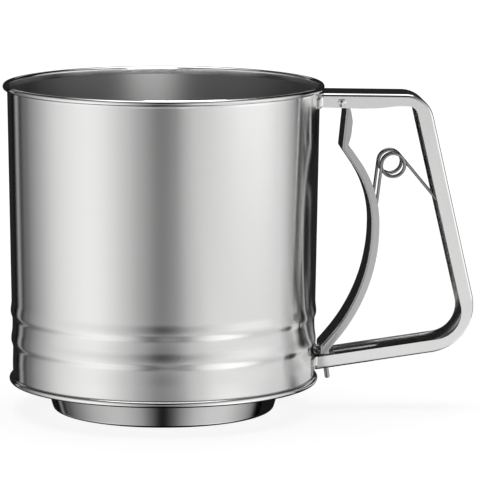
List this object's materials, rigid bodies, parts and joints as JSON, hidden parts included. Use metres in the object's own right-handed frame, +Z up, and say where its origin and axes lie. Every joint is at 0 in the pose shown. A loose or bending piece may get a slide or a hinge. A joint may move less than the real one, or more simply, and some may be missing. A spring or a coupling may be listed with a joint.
{
  "type": "flour sifter",
  "caption": "Steel flour sifter: a round cup over a mesh screen, with a side handle whose squeeze trigger swings a bladed agitator.",
  "frame": {"origin": "centre of the foot ring's flat underside, on the cup's axis and on the table", "axes": "+Z up the cup, +X towards the handle, +Y across it"},
  "size_m": [0.1907, 0.13, 0.1332],
  "materials": {
    "brushed_steel": "satin, brushed round the cup",
    "polished_steel": "polished",
    "inner_steel": "mill finish",
    "spring_steel": "bright drawn wire",
    "mesh_steel": "woven wire mesh"
  },
  "bodies": {
    "cup": {"cup_wall": "brushed_steel", "base_pan": "brushed_steel", "screen_mesh": "mesh_steel", "screen_ring": "inner_steel", "support_bar": "inner_steel", "axle": "inner_steel", "lower_washer": "inner_steel", "upper_washer": "inner_steel", "cap_nut": "polished_steel", "link_eyelet": "polished_steel", "handle": "polished_steel", "pivot_pin": "polished_steel", "spring_coils": "spring_steel"},
    "trigger": {"trigger": "polished_steel"},
    "link": {"link_wire": "spring_steel"},
    "agitator": {"rotor_hub": "inner_steel", "blade_1": "inner_steel", "blade_2": "inner_steel", "blade_3": "inner_steel", "blade_4": "inner_steel", "crank_arm": "inner_steel", "crank_pin": "inner_steel"},
    "spring_leg_pair": {"spring_legs": "spring_steel"}
  },
  "joints": [
    {"name": "trigger_pivot", "type": "hinge", "parent": "cup", "child": "trigger", "pos_m": [0.07134, 0, 0.12585], "axis": [0, -1, 0], "range_deg": [0, 12], "stiffness_Nm_per_rad": 1.2, "springref_deg": -14.32},
    {"name": "link_slide", "type": "slide", "parent": "cup", "child": "link", "axis": [1, 0, 0], "range_m": [0, 0.0222]},
    {"name": "agitator_turn", "type": "hinge", "parent": "cup", "child": "agitator", "pos_m": [0, 0, 0.02], "axis": [0, 0, -1], "range_deg": [0, 63.8]},
    {"name": "spring_leg_turn", "type": "hinge", "parent": "cup", "child": "spring_leg_pair", "pos_m": [0.0927, 0, 0.09995], "axis": [0, -1, 0], "range_deg": [0, 32.6]}
  ],
  "couplings": [
    {"joint": "link_slide", "follows": "trigger_pivot", "m_per_rad": 0.10552},
    {"joint": "agitator_turn", "follows": "trigger_pivot", "ratio": 5.2914},
    {"joint": "spring_leg_turn", "follows": "trigger_pivot", "ratio": 2.7}
  ]
}
